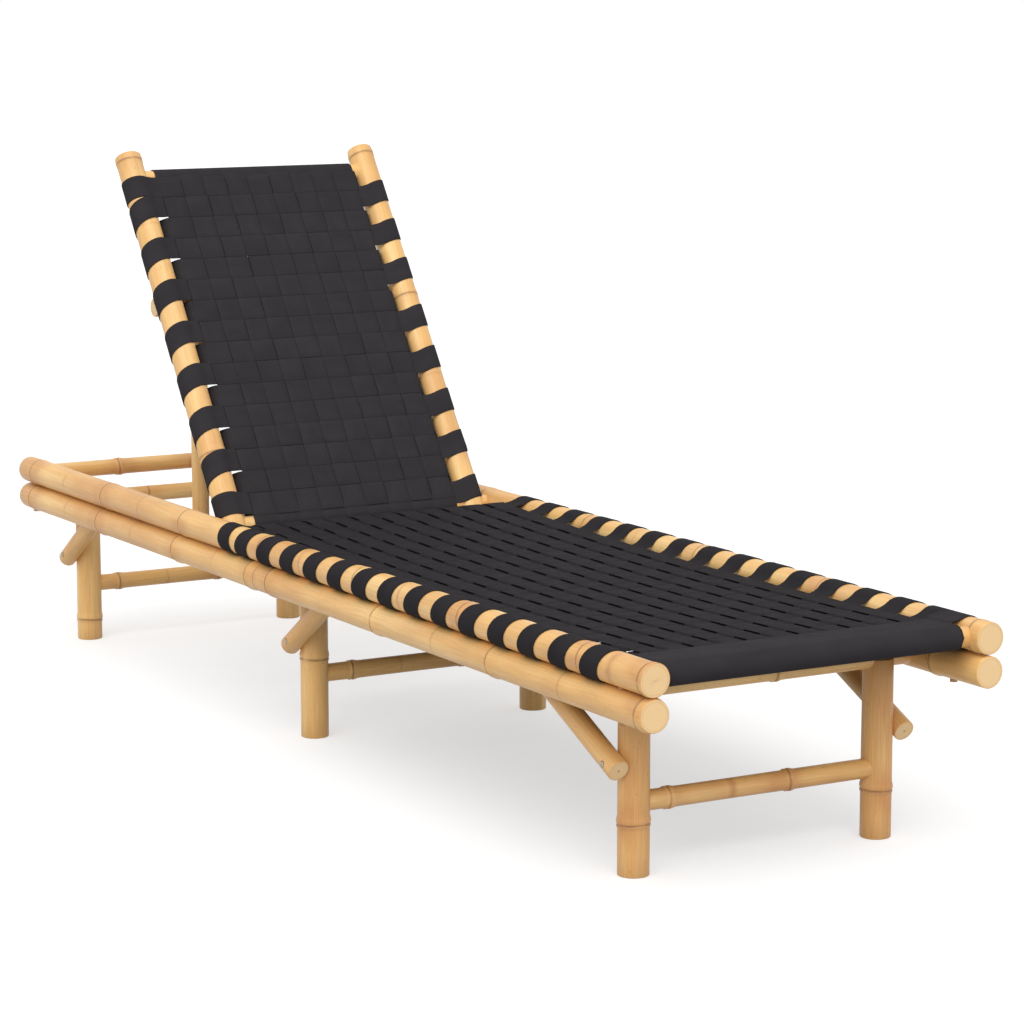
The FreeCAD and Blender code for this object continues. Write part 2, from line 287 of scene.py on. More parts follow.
def bamboo_skin_group(bamboo):
    """Colour, roughness and relief of a culm from its own length, roundness and node places."""
    group, wire, inside = surface_group("Bamboo skin", [
        ("Grain", "Vector", None), ("Node Gap", "Float", 1.0), ("End Share", "Float", 0.0),
        ("Tint", "Float", 0.5), ("Pith", "Float", 0.0)])
    grain, gap, end_share, tint = (inside[name] for name in ("Grain", "Node Gap", "End Share", "Tint"))

    fibres = wire.noise(grain, (6, 260, 260), 3.0, 3.0, 0.6)
    streaks = wire.noise(grain, (2.2, 55, 55))
    clouds = wire.noise(grain, (5, 16, 16))
    specks = wire.noise(grain, (120, 420, 420), detail=1.0)

    # Skin, with tan stains beside the nodes, in slow waves and over the whole of a culm with a high tint,
    # which on the two foot legs is painted shade
    skin = wire.blend(wire.ramp(streaks, 0.42, 0.70), bamboo.skin, bamboo.pale)
    near_node = wire.inverse(wire.ramp(wire.maths("ABSOLUTE", gap), 0.002, 0.045))
    patch = wire.times(wire.ramp(clouds, 0.46, 0.70), 0.80)
    stain = wire.grow(near_node, wire.ramp(clouds, 0.36, 0.62), patch, clamp=True)
    stain = wire.times(stain, wire.grow(tint, 0.75, 0.15))
    slow = wire.ramp(wire.noise(grain, (7, 4, 4), detail=1.0), 0.35, 0.65)
    for amount in (stain, wire.times(slow, 0.22), wire.times(wire.ramp(tint, 0.78, 1.0), 0.5)):
        skin = wire.blend(amount, skin, bamboo.tan)
    skin = wire.blend(1.0, skin, wire.grow(wire.ramp(fibres, 0.30, 0.70), 0.18, 0.91), "MULTIPLY")
    skin = wire.blend(wire.times(wire.ramp(specks, 0.69, 0.76), 0.30), skin, bamboo.scar)

    # Broken dark ring at each node
    ring_gap = wire.maths("ABSOLUTE", wire.maths("ADD", gap, 0.0003))
    ring_break = wire.ramp(wire.noise(grain, (10, 60, 60)), 0.30, 0.52)
    ring = wire.times(wire.inverse(wire.ramp(ring_gap, 0.0003, 0.0032)), wire.grow(ring_break, 0.40, 0.30))
    skin = wire.blend(ring, skin, bamboo.scar)

    # Sawn ends, with a rim under the skin and, on the braces, a dark pith
    on_end = wire.maths("GREATER_THAN", end_share, 0.06)
    radial = wire.noise(grain, (1, 240, 240), 2.0, 3.0, 0.7)
    end = wire.blend(wire.ramp(radial, 0.35, 0.7), bamboo.cut_end, bamboo.pale)
    rim_gap = wire.maths("ABSOLUTE", wire.maths("SUBTRACT", end_share, 0.155))
    end = wire.blend(wire.times(wire.inverse(wire.ramp(rim_gap, 0.0, 0.04)), 0.42), end, bamboo.tan)
    end = wire.blend(wire.times(wire.ramp(end_share, 0.86, 0.95), inside["Pith"]), end, bamboo.scar)

    rough = wire.grow(on_end, 0.25, wire.grow(fibres, 0.18, 0.36))
    height = wire.grow(ring, -0.8, wire.grow(fibres, 0.6, wire.times(streaks, 0.8)))
    skin = wire.blend(on_end, skin, end)
    wire.add("NodeGroupOutput", {"Color": skin, "Roughness": rough, "Height": height})
    return group


def bamboo_material(bamboo):
    """The culms' material, which reads the marks that every culm mesh carries."""
    material = bpy.data.materials.get("Bamboo culm")
    if material:
        return material
    material, wire, shader = new_material("Bamboo culm")
    skin = wire.add("ShaderNodeGroup", {
        "Grain": wire.painted("grain", "Vector"), "Node Gap": wire.painted("node_gap"),
        "End Share": wire.painted("end_share"), "Tint": wire.painted("tint"), "Pith": wire.painted("pith")},
        node_tree=bamboo_skin_group(bamboo)).outputs
    wire.feed(shader, {
        "Base Color": skin["Color"], "Roughness": skin["Roughness"],
        "Normal": wire.bump(skin["Height"], 0.0006, 0.35), "Specular IOR Level": 0.42,
        "Coat Weight": 0.12, "Coat Roughness": 0.35})
    return material


PICK_PITCH = 0.0014
RIB_PITCH = 0.0021


def webbing_group(charcoal):
    """Colour, roughness and relief of elastic webbing from its UV map in metres, with a mark of painted shade
    that darkens it.
    """
    group, wire, inside = surface_group("Elastic webbing", [
        ("UV", "Vector", None), ("Painted Shade", "Float", 0.0), ("Tone", "Float", 1.0)])
    place = wire.add("ShaderNodeSeparateXYZ", {0: inside["UV"]}).outputs
    picks = wire.maths("SINE", wire.times(place["X"], 2 * math.pi / PICK_PITCH))
    ribs = wire.maths("SINE", wire.times(place["Y"], 2 * math.pi / RIB_PITCH))
    cloth = wire.times(picks, ribs)
    fuzz = wire.noise(inside["UV"], (900, 900, 900), rough=0.7)
    wear = wire.ramp(wire.noise(inside["UV"], (14, 30, 30), detail=3.0), 0.25, 0.75)
    shade = wire.grow(fuzz, 0.16, wire.maths("SUBTRACT", wire.grow(wear, 0.20, 0.90), 0.08))
    shade = wire.times(wire.grow(cloth, 0.045, shade), inside["Tone"])
    dark = wire.blend(1.0, charcoal, shade, "MULTIPLY")
    # Painted shade: the mark darkens the colour towards near black in the hollows between straps and along
    # their sides
    wire.add("NodeGroupOutput", {
        "Color": wire.blend(wire.times(inside["Painted Shade"], 0.75), dark, (0.008, 0.007, 0.008)),
        "Roughness": wire.grow(fuzz, 0.12, 0.74), "Height": wire.grow(cloth, 0.5, fuzz)})
    return group


def webbing_material(straps, name="Strap webbing", tone=1.0):
    """The straps' material, darker where tone is below 1; on the bed that darkening is painted shade over the
    whole sheet.
    """
    material = bpy.data.materials.get(name)
    if material:
        return material
    material, wire, shader = new_material(name)
    group = bpy.data.node_groups.get("Elastic webbing") or webbing_group(straps.charcoal)
    uv = wire.add("ShaderNodeUVMap", uv_map="strap").outputs["UV"]
    inputs = {"UV": uv, "Painted Shade": wire.painted("painted_shade"), "Tone": tone}
    cloth = wire.add("ShaderNodeGroup", inputs, node_tree=group).outputs
    wire.feed(shader, {
        "Base Color": cloth["Color"], "Roughness": cloth["Roughness"],
        "Normal": wire.bump(cloth["Height"], 0.0004, 0.5), "Specular IOR Level": 0.03})
    return material


def dowel_material():
    """End-grain wood of the dowels that show under the lower rails."""
    material, wire, shader = new_material("Dowel wood")
    grain = wire.noise(wire.object_place(), (700, 700, 60), detail=3.0, rough=0.6)
    wire.feed(shader, {
        "Base Color": wire.blend(grain, (0.42, 0.22, 0.09), (0.66, 0.40, 0.19)),
        "Roughness": wire.grow(grain, 0.2, 0.6), "Normal": wire.bump(grain, 0.0004)})
    return material


def steel_material():
    """Tarnished steel of the screws."""
    material, wire, shader = new_material("Screw steel")
    grime = wire.noise(wire.object_place(), (500, 500, 500), detail=3.0)
    wire.feed(shader, {
        "Base Color": wire.blend(grime, (0.20, 0.15, 0.10), (0.62, 0.54, 0.42)),
        "Roughness": wire.grow(grime, 0.3, 0.25), "Metallic": 1.0})
    return material


# Culms by Geometry Nodes

# Sections along a culm: close together at its nodes, and at its ends, where shares of the radius close it
NODE_STEPS = (-0.014, -0.009, -0.0062, -0.0045, -0.0033, -0.0024, -0.0015, -0.0008, -0.0002,
              0.0005, 0.0012, 0.0022, 0.0034, 0.0048, 0.0065, 0.0085, 0.011, 0.0145)
NODE_ROOM = 0.015
STATION_PITCH = 0.03
LEAST_STEP = 0.0003
END_SHARES = (0.035, 0.07, 0.13, 0.18, 0.35, 0.6, 0.85, 0.93, 0.985)
END_STEP = 0.00002
END_ROOM = 0.0008
END_EDGE = 0.0012
WAIST = 0.0002
RING_TILT = 0.0010
PAST_END = 0.15


def culm_tree():
    """Sweeps a round section along a culm's axis, with a ridge and a scar groove at each node."""
    tree, wire, inside = geometry_tree("Culm", [
        ("Radius", "Float", 0.02), ("Ridge Height", "Float", 0.0009), ("Ridge Width", "Float", 0.005),
        ("Waist", "Float", WAIST), ("Direction", "Vector", None), ("Ring Tilt", "Float", RING_TILT),
        ("Sides", "Int", 36), ("Material", "Material", None)])
    gap = wire.mark("node_gap")
    swell = wire.bell(gap, 0.0042, inside["Ridge Width"])
    lip, scar = wire.bell(gap, -0.0024, 0.0018), wire.bell(gap, -0.0002, 0.0009)
    relief = wire.maths("SUBTRACT", wire.grow(lip, 0.65, swell), wire.times(scar, 0.70))
    waist = wire.times(wire.mark("waist"), inside["Waist"])
    full = wire.maths("ADD", inside["Radius"], wire.grow(relief, inside["Ridge Height"], waist))
    scaled = wire.times(full, wire.maths("SUBTRACT", 1.0, wire.mark("end_share")))

    curve = wire.add("GeometryNodeMeshToCurve", {"Mesh": inside["Geometry"]})
    circle = wire.add("GeometryNodeCurvePrimitiveCircle", {"Resolution": inside["Sides"], "Radius": 1.0})
    section = wire.add("GeometryNodeStoreNamedAttribute", {
        "Geometry": circle.outputs["Curve"], "Name": "section",
        "Value": wire.add("GeometryNodeInputPosition").outputs[0]}, data_type="FLOAT_VECTOR", domain="POINT")
    sweep = wire.add("GeometryNodeCurveToMesh", {
        "Curve": curve.outputs["Curve"], "Profile Curve": section.outputs["Geometry"], "Scale": scaled,
        "Fill Caps": True})

    lean = wire.add("ShaderNodeVectorMath", {
        0: wire.mark("section", "FLOAT_VECTOR"), 1: wire.mark("ring_lean", "FLOAT_VECTOR")},
        operation="DOT_PRODUCT")
    amount = wire.times(wire.times(lean.outputs["Value"], wire.bell(gap, 0.0, 0.009)), inside["Ring Tilt"])
    slide = wire.add("ShaderNodeVectorMath", {0: inside["Direction"], "Scale": amount}, operation="SCALE")
    tilt = wire.add("GeometryNodeSetPosition", {
        "Geometry": sweep.outputs["Mesh"], "Offset": slide.outputs["Vector"]})
    smooth = wire.add("GeometryNodeSetShadeSmooth", {"Geometry": tilt.outputs["Geometry"]})
    end_tree(wire, smooth.outputs["Geometry"], inside["Material"])
    return tree


def baked(name, source, tree, values):
    """Runs a tree on a source mesh and returns the result as a plain mesh object."""
    carrier = placed(name + "_source", source)
    modifier = carrier.modifiers.new("shape", "NODES")
    modifier.node_group = tree
    for item in tree.interface.items_tree:
        if item.in_out == "INPUT" and item.name in values:
            modifier[item.identifier] = values[item.name]
    graph = bpy.context.evaluated_depsgraph_get()
    mesh = bpy.data.meshes.new_from_object(carrier.evaluated_get(graph), depsgraph=graph)
    carrier.modifiers.clear()
    bpy.data.objects.remove(carrier)
    bpy.data.meshes.remove(source)
    mesh.name = name
    return placed(name, mesh)


def culm_stations(run, nodes):
    """Places along a culm as (place, end share), close together at the nodes and the sawn ends."""
    count = max(2, int(run / STATION_PITCH))
    places = {END_EDGE, run - END_EDGE} | {run * step / count for step in range(1, count)}
    places = {p for p in places if all(abs(p - node) > NODE_ROOM for node in nodes)} | {0.0, run}
    for node in nodes:
        places.update(node + step for step in NODE_STEPS)
    thinned = [0.0]
    for place in sorted(p for p in places if 0.0 < p <= run):
        if place - thinned[-1] > LEAST_STEP:
            thinned.append(place)
    body = [(p, 0.0) for p in thinned[:-1] if END_ROOM < p < run - END_ROOM]
    lead = [(END_STEP * i, share) for i, share in enumerate(reversed(END_SHARES))]
    tail = [(run - END_STEP * (len(END_SHARES) - 1 - i), share) for i, share in enumerate(END_SHARES)]
    return lead + body + tail


def culm(name, start, end, radius, nodes, bamboo, tint, pith=0.0, ridge=None):
    """A bamboo culm between two points. nodes are distances from start where its rings lie."""
    run = end - start
    direction = run.normalized()
    stations = culm_stations(run.length, nodes)
    source = bpy.data.meshes.new(name + "_axis")
    source.from_pydata([start + direction * place for place, _ in stations],
                       [(i, i + 1) for i in range(len(stations) - 1)], [])
    marks = {"node_gap": [], "waist": [], "along": [], "end_share": [], "ring_lean": []}
    bounds = [-PAST_END] + sorted(nodes) + [run.length + PAST_END]
    for place, share in stations:
        nearest = min(nodes, key=lambda node: abs(place - node), default=None)
        low = max(b for b in bounds if b <= place)
        high = min(b for b in bounds if b > place)
        # Each ring leans its own way
        turn = 90 * (nearest or 0.0) + 7 * start.y + 3 * start.x
        marks["node_gap"].append(-1.0 if nearest is None else place - nearest)
        marks["waist"].append(-math.sin(math.pi * (place - low) / (high - low)))
        marks["along"].append(place)
        marks["end_share"].append(share)
        marks["ring_lean"] += [math.cos(turn), math.sin(turn), 0.0]
    for key, values in marks.items():
        write_marks(source, key, values)
    made = baked(name, source, bpy.data.node_groups.get("Culm") or culm_tree(), {
        "Radius": radius, "Ridge Height": ridge or bamboo.ridge_height, "Ridge Width": bamboo.ridge_width,
        "Waist": WAIST, "Direction": direction, "Ring Tilt": RING_TILT,
        "Sides": bamboo.sides, "Material": bamboo_material(bamboo)})
    mark_grain(made.data, radius, tint, pith, len(name) * 0.37 + start.x * 1.7 + start.y * 5.1)
    return made


def mark_grain(mesh, radius, tint, pith, shift):
    """Writes each point's place in its culm, in metres, for the bamboo material."""
    along, ends = read_marks(mesh, "along"), read_marks(mesh, "end_share")
    section = read_marks(mesh, "section", "vector", 3)
    grain = []
    for i, place in enumerate(along):
        reach = radius * (1.0 - ends[i])
        grain += [place + shift, section[3 * i] * reach + shift, section[3 * i + 1] * reach]
    write_marks(mesh, "grain", grain)
    write_marks(mesh, "tint", [tint] * len(along))
    write_marks(mesh, "pith", [pith] * len(along))
    for key in ("along", "section", "waist", "ring_lean"):
        mesh.attributes.remove(mesh.attributes[key])


def middle(node, axis):
    """The middle of a CAD node's box on one axis."""
    low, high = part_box(node)
    return (low[axis] + high[axis]) / 2


def middle_point(node):
    """The middle of a CAD node's box."""
    low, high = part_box(node)
    return (low + high) / 2


def stand_in(made, body, node):
    """Lets a bamboo piece ride on its body in place of the CAD node."""
    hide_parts(node)
    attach(made, body)


def straight_culm(node, axis, radius, rings, body, bamboo, tint, ridge=None):
    """A culm on the long axis of a CAD node, with rings at the given places on that axis."""
    low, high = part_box(node)
    start, end = middle_point(node), middle_point(node)
    start[axis], end[axis] = low[axis], high[axis]
    made = culm(node + "_culm", start, end, radius, [ring - low[axis] for ring in rings], bamboo, tint,
                ridge=ridge)
    stand_in(made, body, node)


# Straps

# Places across a strap as shares of half its width, where its edges begin, and how thin they are
ACROSS = (-1.0, -0.94, -0.55, 0.0, 0.55, 0.94, 1.0)
EDGE = 0.99
EDGE_THINNESS = 0.35
STRAP_GAP = 0.00025

# A lengthwise strap's end: its turn round the bar, the length tucked back, and its widening past the rows
BAR_TURN = math.radians(188)
BAR_STEPS = 12
TUCK = 0.040
CLOSED_WIDTH = 1.05
WIDEN_FROM, WIDEN_OVER = 0.011, 0.007
# Share of the painted side shade that the outer sides of the first and last straps keep
OUTER_SHADE = 0.2
COLUMN_BEND = 0.0003

# Distance from a bar over which the weave grows to its full height, and how far below and above the middle
# surface straps lie on the bar, as shares of their thickness
SETTLE = 0.012
LOW_SHARE, HIGH_SHARE = 0.5, 0.55

# How the painted shade in a hollow fades towards a strap's sides, and the share of a side's painted shade on
# its upper half
FADE_END, FADE_OVER = 1.05, 0.4
UPPER_SIDE_SHARE = 0.25

# The cross strap's turn round a rail: over it, round it and back beneath it, as shares of the whole
LEAD_SHARE, ARC_SHARE, RETURN_SHARE = 0.14, 0.68, 0.18
ARC_STEPS = 20
LEAD_STEPS, BAND_LEAD_STEPS = 8, 20
CONTROL_SHARE = 0.55
RING_REACH = 0.009
LEAN_SHARE = 0.4

# Where the turn first touches the rail, sought in whole degrees, and where its way back leaves the field
LEAST_ANGLE, SOUGHT_ANGLES, CONTACT_ROOM = 92, 75, 0.0005
CORNER_STEP, CORNER_SHARE = 0.004, 1.03


def eased(share):
    """Smooth step from 0 to 1."""
    share = min(1.0, max(0.0, share))
    return share * share * (3 - 2 * share)


class Strap:
    """The closed sections of one strap, collected along its length."""

    def __init__(self, thickness):
        self.thickness = thickness
        self.rings, self.uvs, self.painted_shades = [], [], []
        self.run = 0.0
        self.last = None

    def add(self, lines, offsets, bend=0.0, painted_shade=0.0, edges=(0.3, 0.3)):
        """lines are (place, face) across the strap, and offsets their distances from its middle.

        edges are painted shade along its two sides, which shows on their lower half."""
        centre = lines[len(lines) // 2][0]
        if self.last is not None:
            self.run += (centre - self.last).length
        self.last = centre
        widest = max(offsets)
        upper, lower, uvs, shades, under = [], [], [], [], []
        for (place, face), offset in zip(lines, offsets):
            share = offset / widest
            on_edge = abs(share) > EDGE
            half = self.thickness / 2 * (EDGE_THINNESS if on_edge else 1.0)
            dip = bend * share * share
            upper.append(place + face * (half - dip))
            lower.append(place - face * (half + dip))
            uvs.append((self.run, offset))
            edge = edges[int(offset > 0)] if on_edge else 0.0
            # Painted shade, in place of the shade in the hollows beneath other straps and along the strap's
            # sides
            hollow_shade = painted_shade * eased((FADE_END - abs(share)) / FADE_OVER)
            shades.append(max(hollow_shade, UPPER_SIDE_SHARE * edge))
            under.append(max(hollow_shade, edge))
        self.rings.append(upper + lower[::-1])
        self.uvs.append(uvs + uvs[::-1])
        self.painted_shades.append(shades + under[::-1])


def strap_object(name, straps, material):
    """One mesh of closed strips, with a UV map in metres and a mark of painted shade for the material."""
    points, faces, uvs, painted_shades = [], [], [], []
    for strap in straps:
        base, count = len(points), len(strap.rings[0])
        for ring, ring_uvs, ring_painted_shades in zip(strap.rings, strap.uvs, strap.painted_shades):
            points += ring
            uvs += ring_uvs
            painted_shades += ring_painted_shades
        for i in range(len(strap.rings) - 1):
            low = base + i * count
            for j in range(count):
                k = (j + 1) % count
                faces.append((low + j, low + k, low + count + k, low + count + j))
        for low in (base, base + (len(strap.rings) - 1) * count):
            for j in range(count // 2 - 1):
                faces.append((low + j, low + j + 1, low + count - 2 - j, low + count - 1 - j))
    mesh = bpy.data.meshes.new(name)
    mesh.from_pydata(points, [], faces)
    solid = bmesh.new()
    solid.from_mesh(mesh)
    bmesh.ops.recalc_face_normals(solid, faces=solid.faces)
    solid.to_mesh(mesh)
    solid.free()
    layer = mesh.uv_layers.new(name="strap")
    for loop in mesh.loops:
        layer.data[loop.index].uv = uvs[loop.vertex_index]
    # The mark of painted shade for the hollows and sides
    write_marks(mesh, "painted_shade", painted_shades)
    mesh.materials.append(material)
    mesh.polygons.foreach_set("use_smooth", [True] * len(mesh.polygons))
    return placed(name, mesh)


class Field:
    """A woven field between two bars: u runs up the lengthwise straps and on round the bars."""

    def __init__(self, origin, along, up, low, high, sag, bar_radius, thickness):
        self.origin, self.along, self.up = origin, along, up
        self.low, self.high, self.sag = low, high, sag
        self.middle = bar_radius + STRAP_GAP + thickness
        self.thickness = thickness

    def rise(self, u):
        """Height of the woven middle surface over the bars' axes."""
        half = (self.high - self.low) / 2
        offset = (u - self.low) / half - 1
        return self.middle - self.sag * max(0.0, 1 - offset * offset)

    def lift(self, u, share, wave):
        """Height of a strap over the middle surface, with a share of 0 beneath the others and 1 on top."""
        settle = eased(min(u - self.low, self.high - u) / SETTLE)
        low = -wave * settle - LOW_SHARE * self.thickness * (1 - settle)
        high = wave * settle + HIGH_SHARE * self.thickness * (1 - settle)
        return low + (high - low) * share

    def line(self, u, y, lift):
        """Place and outward direction on the surface, which follows the bars beyond their axes."""
        s = min(self.high, max(self.low, u))
        turn = (u - s) / self.middle
        face = self.up * math.cos(turn) + self.along * math.sin(turn)
        height = (self.rise(s) if turn == 0 else self.middle) + lift
        return self.origin + self.along * s + Y_AXIS * y + face * height, face

    def spot(self, s, y, n):
        """A place at s along the field, y across it and n above the bars' axes."""
        return self.origin + self.along * s + Y_AXIS * y + self.up * n


class Weave:
    """The places of a field's straps: columns run lengthwise and rows across."""

    ramp = 0.003
    row_ramp = 0.004
    edge_room = 0.0005
    least_step = 0.0002

    def __init__(self, field, straps, columns, pitch, width, first_row, rows, wave, stray):
        self.field, self.wave, self.stray = field, wave, stray
        self.pitch, self.width = pitch, width
        self.row_pitch, self.row_width = straps.row_pitch, straps.width
        self.columns = [(j - (columns - 1) / 2) * pitch for j in range(columns)]
        self.rows = [first_row + i * self.row_pitch for i in range(rows)]
        self.column_half = min(width / 2 - self.edge_room, (pitch - self.ramp) / 2)
        self.row_half = (self.row_pitch - self.row_ramp) / 2
        self.row_end = self.columns[-1] + self.column_half + self.ramp
        self.bend_from = self.columns[-1] - self.column_half

    def row_place(self, row, y):
        """Where a row really lies, a little off its even place."""
        return self.rows[row] + self.stray * math.sin(5.1 * row + 9.0 * y) * math.cos(2.3 * row)

    def column_shift(self, column, u):
        """How far a lengthwise strap strays to one side."""
        return self.stray * math.sin(3.7 * column + 7.0 * u) * math.cos(1.9 * column)

    def row_over(self, row, column):
        """True where the cross strap lies over the lengthwise one."""
        return (row + column) % 2 == 1

    def row_share(self, row, y):
        """1 where a row lies on top of a lengthwise strap, 0 where it lies beneath."""
        gap = min(abs(y - place) for column, place in enumerate(self.columns) if self.row_over(row, column))
        return eased(1 - (gap - self.column_half) / self.ramp)

    def row_gap(self, column, u):
        """Distance from the nearest row that a lengthwise strap lies on top of."""
        return min(abs(u - place) for row, place in enumerate(self.rows) if not self.row_over(row, column))

    def column_share(self, column, u):
        """1 where a lengthwise strap lies on top of a row, 0 where it lies beneath."""
        return eased(1 - (self.row_gap(column, u) - self.row_half) / self.row_ramp)

    def side_shade(self, column, u):
        """Shade on the sides of a lengthwise strap, deepest where it lies on top of the middle of a row."""
        return eased(2 - 4 * self.row_gap(column, u) / self.row_pitch)

    def stations(self, places, half, ramp, low, high):
        """Places along a strap that bends beside each of the straps that it crosses."""
        marks = {low, high}
        for place in places:
            for reach in (0, half / 2, half, half + ramp / 3, half + 2 * ramp / 3, half + ramp):
                marks.update((place - reach, place + reach))
        kept = [low]
        for mark in sorted(mark for mark in marks if low < mark < high - self.least_step):
            if mark - kept[-1] > self.least_step:
                kept.append(mark)
        return kept + [high]


def lengthwise_strap(weave, column):
    """A strap over and under the rows, round both bars, with its two ends tucked back underneath."""
    field, y = weave.field, weave.columns[column]
    strap = Strap(field.thickness)
    offsets = [share * weave.width / 2 for share in ACROSS]
    on_bar = field.lift(field.low, 0, 0)
    bar_turn = field.middle * BAR_TURN
    outer = [OUTER_SHADE if column == last else 1.0 for last in (0, len(weave.columns) - 1)]

    def add(u, lift, tail=0.0, bend=0.0, shade=0.3):
        """One section, which widens to close the gap to its neighbours beyond the last row."""
        beyond = max(weave.rows[0] - u, u - weave.rows[-1]) - weave.row_pitch / 2
        widened = eased((beyond + WIDEN_FROM) / WIDEN_OVER)
        spread = 1 + (CLOSED_WIDTH * weave.pitch / weave.width - 1) * widened
        place, face = field.line(u, y + weave.column_shift(column, u), lift)
        place += field.along * tail
        strap.add([(place + Y_AXIS * offset * spread, face) for offset in offsets], offsets, bend, 0.0,
                  [side * shade for side in outer])

    add(field.low - bar_turn, on_bar, TUCK)
    for step in range(BAR_STEPS):
        add(field.low - bar_turn * (1 - step / BAR_STEPS), on_bar)
    for u in weave.stations(weave.rows, weave.row_half, weave.row_ramp, field.low, field.high):
        share = weave.column_share(column, u)
        add(u, field.lift(u, share, weave.wave), 0.0, COLUMN_BEND * share, weave.side_shade(column, u))
    for step in range(1, BAR_STEPS + 1):
        add(field.high + bar_turn * step / BAR_STEPS, on_bar)
    add(field.high + bar_turn, on_bar, -TUCK)
    return strap


def turn_outline(start, height, radius, lead_steps=LEAD_STEPS):
    """Outline of a strap from the field over a rail and back beneath it, measured from the rail's axis.

    Returns (out, up, share of the turn) in order, and the range of those that lie on the rail."""
    def reached(angle):
        contact = (radius * math.cos(angle), radius * math.sin(angle))
        slide = (height - contact[1]) / math.cos(angle)
        return contact, (contact[0] - slide * math.sin(angle), height)

    def misfit(angle):
        contact, control = reached(angle)
        return abs(control[0] - start - CONTROL_SHARE * (contact[0] - start))

    def bend(control, contact, steps):
        shares = [step / steps for step in range(steps)]
        return [((1 - t) ** 2 * start + 2 * t * (1 - t) * control[0] + t * t * contact[0],
                 (1 - t) ** 2 * height + 2 * t * (1 - t) * control[1] + t * t * contact[1]) for t in shares]

    level = 180 - math.degrees(math.asin(min(1.0, (height + CONTACT_ROOM) / radius)))
    lowest = max(LEAST_ANGLE, level - SOUGHT_ANGLES)
    first = min((math.radians(lowest + step) for step in range(SOUGHT_ANGLES + 1)), key=misfit)
    contact, control = reached(first)
    lead = bend(control, contact, lead_steps)[1:]
    corner = (min(start + CORNER_STEP, -CORNER_SHARE * radius), height)
    last = math.atan2(corner[1], corner[0]) + math.acos(radius / math.hypot(*corner)) - 2 * math.pi
    arc = [first + (last - first) * step / ARC_STEPS for step in range(ARC_STEPS + 1)]
    on_rail = [(radius * math.cos(turn), radius * math.sin(turn)) for turn in arc]
    back = bend(corner, on_rail[-1], LEAD_STEPS)[1:][::-1]
    shares = [LEAD_SHARE * (i + 1) / (len(lead) + 1) for i in range(len(lead))]
    shares += [LEAD_SHARE + ARC_SHARE * i / ARC_STEPS for i in range(ARC_STEPS + 1)]
    shares += [1 - RETURN_SHARE + RETURN_SHARE * (i + 1) / (len(back) + 1) for i in range(len(back))]
    outline = [(*place, share) for place, share in zip(lead + on_rail + back, shares)]
    return outline, len(lead), len(lead) + len(on_rail)


class CrossStrap(Strap):
    """One long strap: across row after row, over each rail and back under it to the next row."""

    def __init__(self, weave, rails, rail_radius, ridge, bend, shade):
        super().__init__(weave.field.thickness)
        self.weave, self.field = weave, weave.field
        self.rail_y = middle(rails[1], 1)
        self.rail_rings = {-1: RAIL_RINGS[rails[0]], 1: RAIL_RINGS[rails[1]]}
        self.ridge, self.bend, self.shade = ridge, bend, shade
        self.offsets = [share * weave.row_width / 2 for share in ACROSS]
        self.radius = rail_radius + STRAP_GAP + self.thickness / 2

    def outline(self, u):
        """The turn round a rail at u, which follows the field's height there."""
        inside = min(self.field.high, max(self.field.low, u))
        height = self.field.rise(inside) + self.field.lift(inside, 0, self.weave.wave)
        return turn_outline(self.weave.row_end - self.rail_y, height, self.radius)

    def over_ring(self, side, place):
        """How far the strap stands off a rail where it crosses one of the rail's ridges."""
        u = (place - self.field.origin).dot(self.field.along)
        return self.ridge * max(math.exp(-((u - ring) / RING_REACH) ** 2) for ring in self.rail_rings[side])

    def add_row(self, row, facing, slips):
        """The woven part of a row. slips shift its near and far ends along the rails."""
        weave, end = self.weave, self.weave.row_end
        marks = weave.stations(weave.columns, weave.column_half, weave.ramp, -end, end)
        for y in marks[::facing]:
            share = weave.row_share(row, y)
            slip = slips[y > 0] * eased((abs(y) - weave.bend_from) / (end - weave.bend_from))
            lines = []
            for offset in self.offsets:
                u = weave.row_place(row, y) + offset
                place, face = self.field.line(u + slip, y, self.field.lift(u, share, weave.wave))
                lines.append((place, face * facing))
            # Painted shade on the part of a row that lies beneath the lengthwise straps, which darkens the
            # slots between them
            hidden = share < 0.05 and abs(y) < weave.columns[-1]
            self.add(lines, self.offsets, self.bend * share * facing, float(hidden), (self.shade, self.shade))

    def add_turn(self, side, places, facing):
        """places are (out, up, u, on the rail) one after another; the section stays square to the path."""
        along, up_axis = self.field.along, self.field.up
        spots = [self.field.spot(u, side * (self.rail_y + out), up) for out, up, u, _ in places]
        for i, (out, up, u, on_rail) in enumerate(places):
            ahead = spots[min(len(spots) - 1, i + 1)] - spots[max(0, i - 1)]
            outward = (up_axis * ahead.y * side - Y_AXIS * side * ahead.dot(up_axis)) * facing
            ahead.normalize()
            across = (along - ahead * along.dot(ahead)).normalized()
            axis = self.field.spot(u, side * self.rail_y, 0)
            lines = []
            for offset in self.offsets:
                place = spots[i] + across * offset
                away = place - axis - along * (place - axis).dot(along)
                radius = self.radius + self.over_ring(side, place)
                face = away.normalized() if on_rail else ahead.cross(across)
                if on_rail or away.length < radius:
                    place = place + away.normalized() * (radius - away.length)
                lines.append((place, face if face.dot(outward) > 0 else -face))
            self.add(lines, self.offsets)


